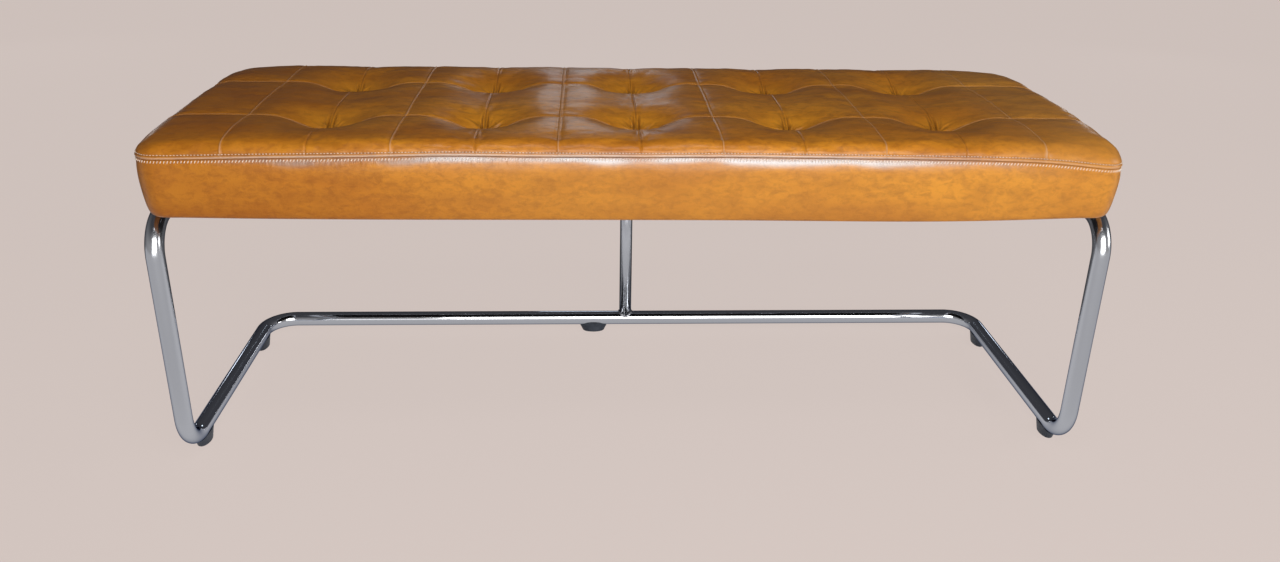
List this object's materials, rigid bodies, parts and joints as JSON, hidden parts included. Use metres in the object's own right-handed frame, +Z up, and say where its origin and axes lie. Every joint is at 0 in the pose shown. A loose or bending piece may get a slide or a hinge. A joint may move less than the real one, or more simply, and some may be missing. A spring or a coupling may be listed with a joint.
{
  "type": "bench sofa",
  "caption": "Low backless bench seat: a blind-tufted tan leather cushion on a bent chromed tube frame with an open C at each end, a rear post and plastic floor glides.",
  "frame": {"origin": "on the floor under the middle of the bench", "axes": "+X along the bench to the right as the picture sees it, +Y to the back where the post stands, +Z up; the two legs are at the front, -Y"},
  "size_m": [1.325, 0.48, 0.4954],
  "materials": {
    "chromed_tube": "bright chromium plate on bent and welded steel tube",
    "plain_steel": "bare drawn steel, hidden inside the tube",
    "glide_plastic": "moulded dark blue-black polyamide",
    "beech": "sawn beech, hidden",
    "plywood": "birch plywood, hidden",
    "seat_foam": "cut seat foam, hidden",
    "tie_twine": "waxed upholstery twine, hidden",
    "anchor_plastic": "natural moulded discs, hidden",
    "tan_leather": "semi-gloss waxed tan leather with a mottled tone and pale thread",
    "black_cambric": "black non-woven dust cover",
    "zinc_steel": "zinc-plated steel"
  },
  "bodies": {
    "root": {"left_frame_tube": "chromed_tube", "right_frame_tube": "chromed_tube", "centre_post": "chromed_tube", "mounting_tabs": "chromed_tube", "floor_rail_sleeve": "plain_steel", "seat_rail_sleeve": "plain_steel", "front_left_glide": "glide_plastic", "front_right_glide": "glide_plastic", "rear_left_glide": "glide_plastic", "rear_right_glide": "glide_plastic", "centre_glide": "glide_plastic", "seat_front_rail": "beech", "seat_back_rail": "beech", "seat_left_rail": "beech", "seat_right_rail": "beech", "cross_rails": "beech", "corner_blocks": "beech", "seat_deck": "plywood", "foam_core": "seat_foam", "tuft_ties": "tie_twine", "tuft_anchors": "anchor_plastic", "cover_top": "tan_leather", "cover_band_front": "tan_leather", "cover_band_back": "tan_leather", "dust_cover": "black_cambric", "threaded_inserts": "zinc_steel", "screws": "zinc_steel", "washers": "zinc_steel"}
  },
  "joints": []
}
